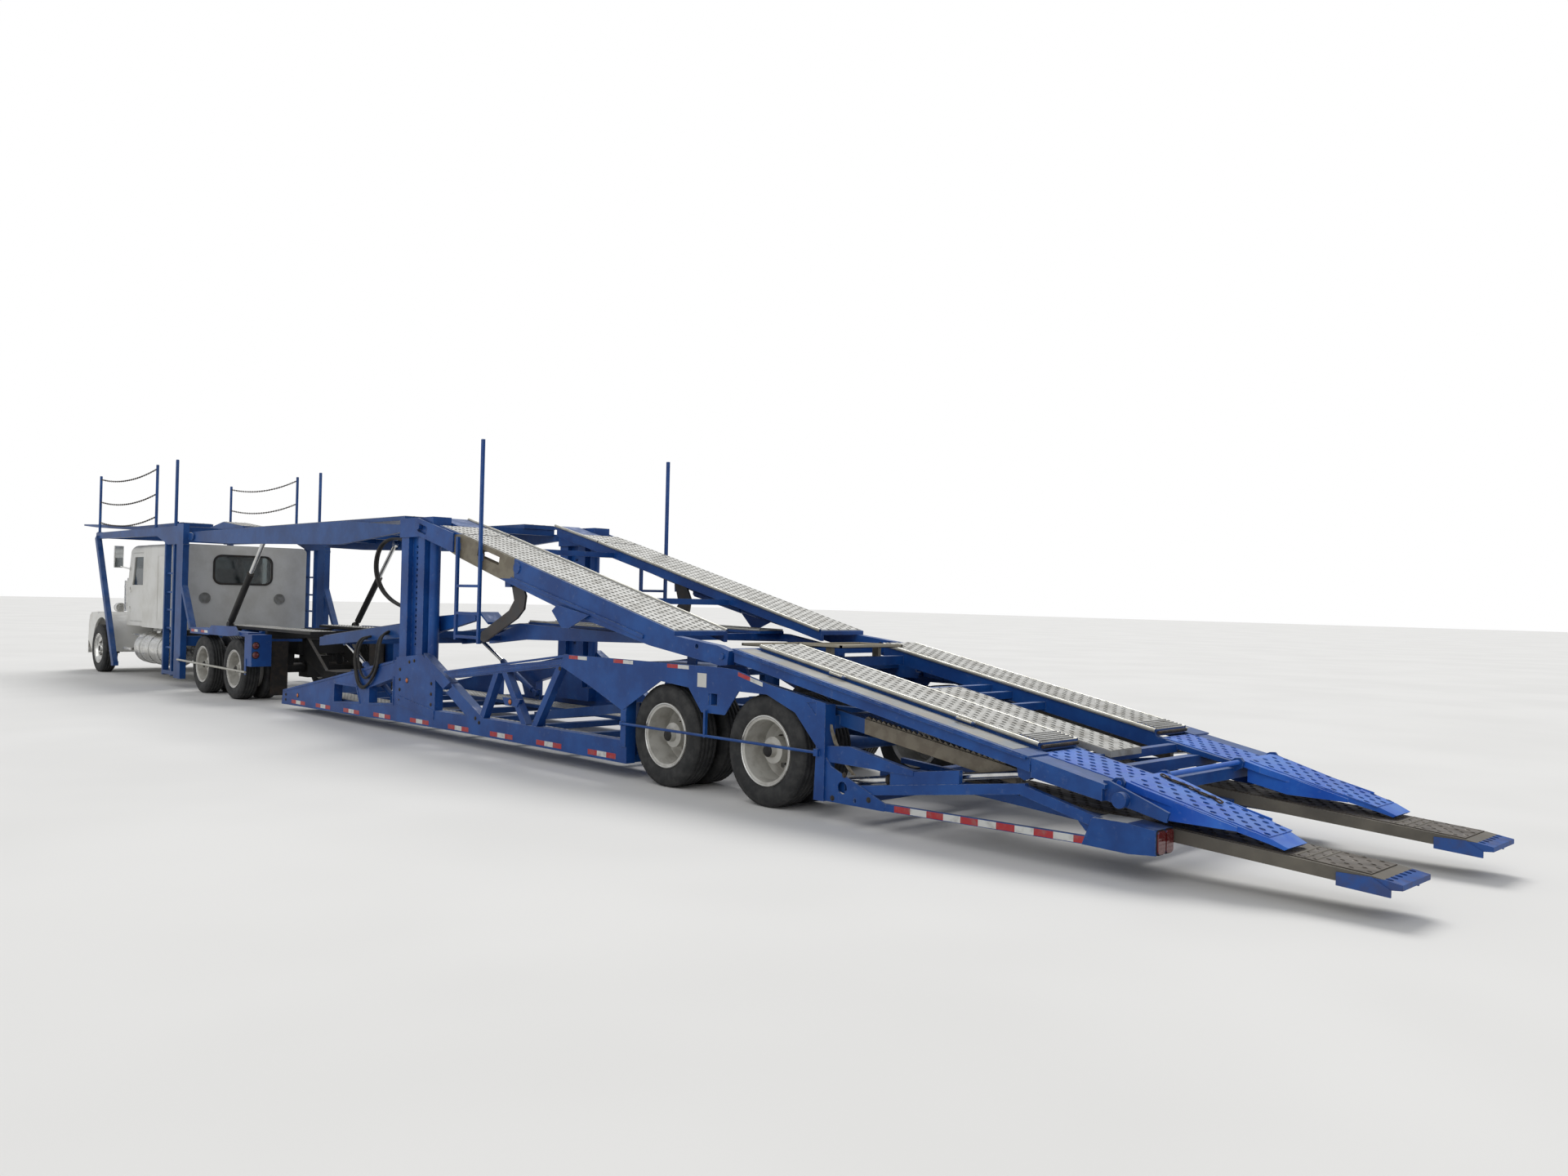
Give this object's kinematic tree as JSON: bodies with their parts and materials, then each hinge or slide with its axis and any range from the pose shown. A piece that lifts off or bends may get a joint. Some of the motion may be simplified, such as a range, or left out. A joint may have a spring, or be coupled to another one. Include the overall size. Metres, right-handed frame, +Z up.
{
  "type": "car transporter truck",
  "caption": "Long-nose tractor with a head rack, hinged to a low car-carrying trailer with tilting decks, flip ramps and sliding ramps.",
  "frame": {"origin": "on the ground under the middle of the whole lorry", "axes": "+X forward towards the tractor's bumper, +Y to the driver's left, +Z up"},
  "size_m": [25.34, 2.584, 3.83],
  "materials": {
    "black_paint": "dusty paint",
    "blue_paint": "worn gloss paint",
    "bright_blue_paint": "worn gloss paint",
    "bright_steel": "polished",
    "cab_trim": "matte",
    "dark_steel": "worn bare steel",
    "iron": "dusty",
    "pane": "tinted",
    "rim_paint": "painted",
    "tank_aluminium": "polished",
    "tyre_rubber": "dusty",
    "white_paint": "dusty gloss paint"
  },
  "bodies": {
    "tractor": {"tractor_frame": "black_paint", "engine_block": "iron", "cab_shell": "white_paint", "sleeper_shell": "white_paint", "cab_interior": "cab_trim", "cab_glass": "pane", "front_bumper": "bright_steel", "fuel_tanks": "tank_aluminium", "air_cleaners": "bright_steel", "mirrors": "bright_steel", "headrack_frame": "blue_paint", "guard_posts": "blue_paint", "drive_fenders": "blue_paint"},
    "hood": {"hood_shell": "white_paint", "grille_and_headlamps": "bright_steel"},
    "headrack_deck": {"headrack_deck": "blue_paint"},
    "door_left": {"door_left": "white_paint", "door_glass_left": "pane"},
    "door_right": {"door_right": "white_paint", "door_glass_right": "pane"},
    "knuckle_left": {"knuckle_left": "black_paint"},
    "knuckle_right": {"knuckle_right": "black_paint"},
    "tractor_deck": {"tractor_deck": "blue_paint"},
    "deck_lift_barrels": {"deck_lift_barrels": "blue_paint"},
    "deck_lift_rods": {"deck_lift_rods": "bright_steel"},
    "trailer": {"trailer_side_left": "blue_paint", "trailer_side_right": "blue_paint", "trailer_floor": "blue_paint", "trailer_tail": "blue_paint"},
    "post_carriages": {"post_carriages": "blue_paint"},
    "upper_deck": {"upper_deck": "blue_paint"},
    "middle_deck": {"middle_deck": "blue_paint"},
    "rear_deck": {"rear_deck": "blue_paint"},
    "flip_ramps": {"flip_ramps": "bright_blue_paint"},
    "slide_ramps": {"slide_ramps": "dark_steel"},
    "rear_lift_barrels": {"rear_lift_barrels": "blue_paint"},
    "rear_lift_rods": {"rear_lift_rods": "bright_steel"},
    "neck_deck": {"neck_deck": "blue_paint"},
    "neck_lift_barrels": {"neck_lift_barrels": "blue_paint"},
    "neck_lift_rods": {"neck_lift_rods": "bright_steel"},
    "steer_wheel_left": {"steer_tyre_left": "tyre_rubber", "steer_rim_left": "rim_paint"},
    "steer_wheel_right": {"steer_tyre_right": "tyre_rubber", "steer_rim_right": "rim_paint"},
    "drive_front_wheel_left": {"drive_front_tyre_left": "tyre_rubber", "drive_front_rim_left": "rim_paint"},
    "drive_front_wheel_right": {"drive_front_tyre_right": "tyre_rubber", "drive_front_rim_right": "rim_paint"},
    "drive_rear_wheel_left": {"drive_rear_tyre_left": "tyre_rubber", "drive_rear_rim_left": "rim_paint"},
    "drive_rear_wheel_right": {"drive_rear_tyre_right": "tyre_rubber", "drive_rear_rim_right": "rim_paint"},
    "trailer_front_wheel_left": {"trailer_front_tyre_left": "tyre_rubber", "trailer_front_rim_left": "rim_paint"},
    "trailer_front_wheel_right": {"trailer_front_tyre_right": "tyre_rubber", "trailer_front_rim_right": "rim_paint"},
    "trailer_rear_wheel_left": {"trailer_rear_tyre_left": "tyre_rubber", "trailer_rear_rim_left": "rim_paint"},
    "trailer_rear_wheel_right": {"trailer_rear_tyre_right": "tyre_rubber", "trailer_rear_rim_right": "rim_paint"}
  },
  "joints": [
    {"name": "steer_wheel_left_spin", "type": "hinge", "parent": "knuckle_left", "child": "steer_wheel_left", "pos_m": [11.014, 1.115, 0.458], "axis": [0, 1, 0], "continuous": true},
    {"name": "steer_wheel_right_spin", "type": "hinge", "parent": "knuckle_right", "child": "steer_wheel_right", "pos_m": [11.014, -1.115, 0.458], "axis": [0, 1, 0], "continuous": true},
    {"name": "drive_front_wheel_left_spin", "type": "hinge", "parent": "tractor", "child": "drive_front_wheel_left", "pos_m": [5.237, 0.95, 0.458], "axis": [0, 1, 0], "continuous": true},
    {"name": "drive_front_wheel_right_spin", "type": "hinge", "parent": "tractor", "child": "drive_front_wheel_right", "pos_m": [5.237, -0.95, 0.458], "axis": [0, 1, 0], "continuous": true},
    {"name": "drive_rear_wheel_left_spin", "type": "hinge", "parent": "tractor", "child": "drive_rear_wheel_left", "pos_m": [3.877, 0.95, 0.458], "axis": [0, 1, 0], "continuous": true},
    {"name": "drive_rear_wheel_right_spin", "type": "hinge", "parent": "tractor", "child": "drive_rear_wheel_right", "pos_m": [3.877, -0.95, 0.458], "axis": [0, 1, 0], "continuous": true},
    {"name": "trailer_front_wheel_left_spin", "type": "hinge", "parent": "trailer", "child": "trailer_front_wheel_left", "pos_m": [-6.573, 0.95, 0.458], "axis": [0, 1, 0], "continuous": true},
    {"name": "trailer_front_wheel_right_spin", "type": "hinge", "parent": "trailer", "child": "trailer_front_wheel_right", "pos_m": [-6.573, -0.95, 0.458], "axis": [0, 1, 0], "continuous": true},
    {"name": "trailer_rear_wheel_left_spin", "type": "hinge", "parent": "trailer", "child": "trailer_rear_wheel_left", "pos_m": [-7.87, 0.95, 0.458], "axis": [0, 1, 0], "continuous": true},
    {"name": "trailer_rear_wheel_right_spin", "type": "hinge", "parent": "trailer", "child": "trailer_rear_wheel_right", "pos_m": [-7.87, -0.95, 0.458], "axis": [0, 1, 0], "continuous": true},
    {"name": "trailer_turn", "type": "hinge", "parent": "tractor", "child": "trailer", "pos_m": [2.43, 0, 0.46], "axis": [0, 0, 1], "range_deg": [-40, 40]},
    {"name": "steer_left", "type": "hinge", "parent": "tractor", "child": "knuckle_left", "pos_m": [11.014, 0.9, 0.458], "axis": [0, 0, 1], "range_deg": [-32, 32]},
    {"name": "steer_right", "type": "hinge", "parent": "tractor", "child": "knuckle_right", "pos_m": [11.014, -0.9, 0.458], "axis": [0, 0, 1], "range_deg": [-32, 32]},
    {"name": "hood_tilt", "type": "hinge", "parent": "tractor", "child": "hood", "pos_m": [11.91, 0, 0.64], "axis": [0, 1, 0], "range_deg": [0, 28]},
    {"name": "door_left_swing", "type": "hinge", "parent": "tractor", "child": "door_left", "pos_m": [9.92, 1.011, 1.6], "axis": [0, 0, -1], "range_deg": [0, 65]},
    {"name": "door_right_swing", "type": "hinge", "parent": "tractor", "child": "door_right", "pos_m": [9.92, -1.011, 1.6], "axis": [0, 0, 1], "range_deg": [0, 65]},
    {"name": "headrack_tilt", "type": "hinge", "parent": "tractor", "child": "headrack_deck", "pos_m": [6.83, 0, 2.745], "axis": [0, -1, 0], "range_deg": [0, 8]},
    {"name": "tractor_deck_tilt", "type": "hinge", "parent": "tractor", "child": "tractor_deck", "pos_m": [6.08, 0, 2.52], "axis": [0, 1, 0], "range_deg": [-6, 5]},
    {"name": "deck_barrel_swing", "type": "hinge", "parent": "tractor", "child": "deck_lift_barrels", "pos_m": [4.66, 0, 1.1], "axis": [0, 1, 0], "range_deg": [-8, 8]},
    {"name": "deck_rod_stroke", "type": "slide", "parent": "deck_lift_barrels", "child": "deck_lift_rods", "axis": [-0.7124, 0, 0.7018], "range_m": [-0.3, 0.3]},
    {"name": "carriage_slide", "type": "slide", "parent": "trailer", "child": "post_carriages", "axis": [0, 0, 1], "range_m": [-1, 0]},
    {"name": "upper_deck_tilt", "type": "hinge", "parent": "trailer", "child": "upper_deck", "pos_m": [-7.34, 0, 1.2], "axis": [0, 1, 0], "range_deg": [0, 10]},
    {"name": "middle_deck_swing", "type": "hinge", "parent": "trailer", "child": "middle_deck", "pos_m": [-6.62, 0, 1.18], "axis": [0, 1, 0], "range_deg": [0, 13]},
    {"name": "rear_deck_tilt", "type": "hinge", "parent": "trailer", "child": "rear_deck", "pos_m": [-7.34, 0, 1.2], "axis": [0, 1, 0], "range_deg": [0, 16]},
    {"name": "rear_barrel_swing", "type": "hinge", "parent": "trailer", "child": "rear_lift_barrels", "pos_m": [-8.64, 0, 0.29], "axis": [0, 1, 0], "range_deg": [-1, 25]},
    {"name": "rear_rod_stroke", "type": "slide", "parent": "rear_lift_barrels", "child": "rear_lift_rods", "axis": [-0.9878, 0, 0.156], "range_m": [-0.01, 0.4]},
    {"name": "flip_ramps_fold", "type": "hinge", "parent": "rear_deck", "child": "flip_ramps", "pos_m": [-11.02, 0, 0.582], "axis": [0, 1, 0], "range_deg": [0, 150]},
    {"name": "slide_ramps_stroke", "type": "slide", "parent": "trailer", "child": "slide_ramps", "axis": [0.9976, 0, 0.0688], "range_m": [0, 1]},
    {"name": "neck_deck_tilt", "type": "hinge", "parent": "trailer", "child": "neck_deck", "pos_m": [-1.25, 0, 1.2], "axis": [0, 1, 0], "range_deg": [0, 9]},
    {"name": "neck_barrel_swing", "type": "hinge", "parent": "trailer", "child": "neck_lift_barrels", "pos_m": [-0.97, 0, 0.35], "axis": [0, 1, 0], "range_deg": [-1, 10]},
    {"name": "neck_rod_stroke", "type": "slide", "parent": "neck_lift_barrels", "child": "neck_lift_rods", "axis": [0.9125, 0, 0.4091], "range_m": [-0.16, 0.01]}
  ],
  "couplings": [
    {"joint": "steer_right", "follows": "steer_left", "ratio": 1},
    {"joint": "deck_barrel_swing", "follows": "tractor_deck_tilt", "ratio": 1.02},
    {"joint": "deck_rod_stroke", "follows": "tractor_deck_tilt", "m_per_rad": 2.005},
    {"joint": "carriage_slide", "follows": "upper_deck_tilt", "m_per_rad": -5.662},
    {"joint": "middle_deck_swing", "follows": "upper_deck_tilt", "ratio": 1.27},
    {"joint": "rear_barrel_swing", "follows": "rear_deck_tilt", "ratio": 1.4625},
    {"joint": "rear_rod_stroke", "follows": "rear_deck_tilt", "m_per_rad": 1.311},
    {"joint": "neck_barrel_swing", "follows": "neck_deck_tilt", "ratio": 0.99},
    {"joint": "neck_rod_stroke", "follows": "neck_deck_tilt", "m_per_rad": -0.894}
  ]
}
